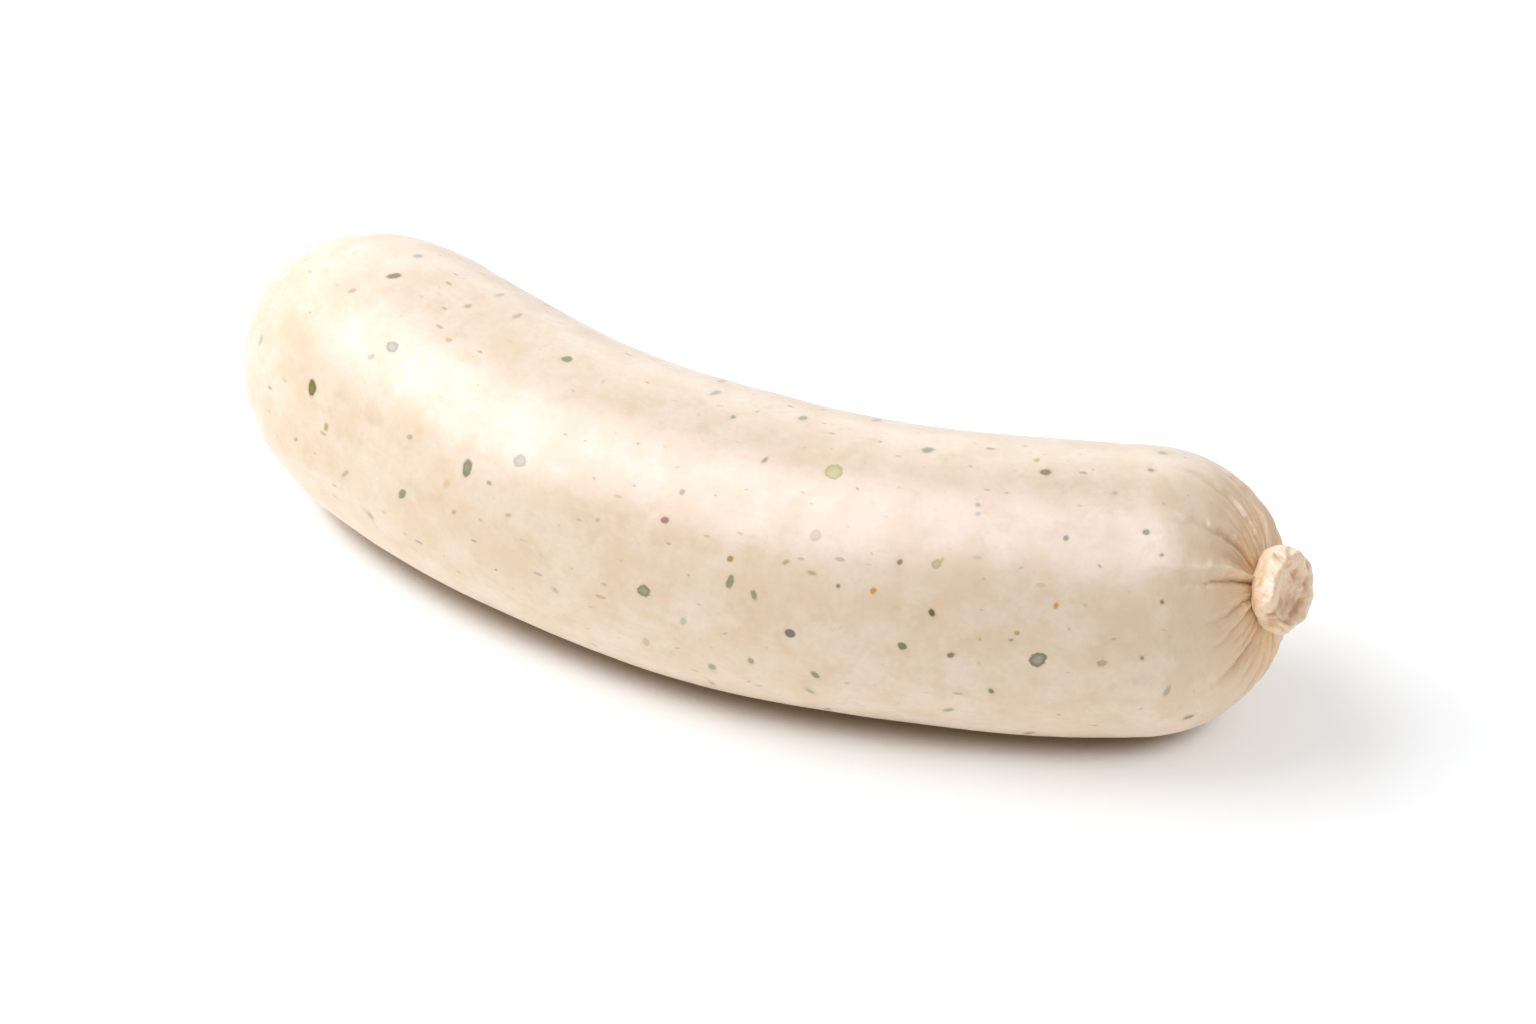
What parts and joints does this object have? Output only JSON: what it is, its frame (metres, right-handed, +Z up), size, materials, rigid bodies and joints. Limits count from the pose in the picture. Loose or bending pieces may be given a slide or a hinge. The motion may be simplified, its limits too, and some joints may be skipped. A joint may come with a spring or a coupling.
{
  "type": "white herb sausage",
  "caption": "Pale herb-flecked sausage lying in a gentle curve, its casing gathered into pleats and a crumpled knob at each end.",
  "frame": {"origin": "centre of the sausage's footprint, on the surface that it rests on", "axes": "+X along the chord of the curve, from the far knob to the near knob; +Y towards the hollow side of the curve; +Z up"},
  "size_m": [0.1304, 0.0454, 0.0327],
  "materials": {
    "casing": "satin"
  },
  "bodies": {
    "root": {"sausage": "casing"}
  },
  "joints": []
}
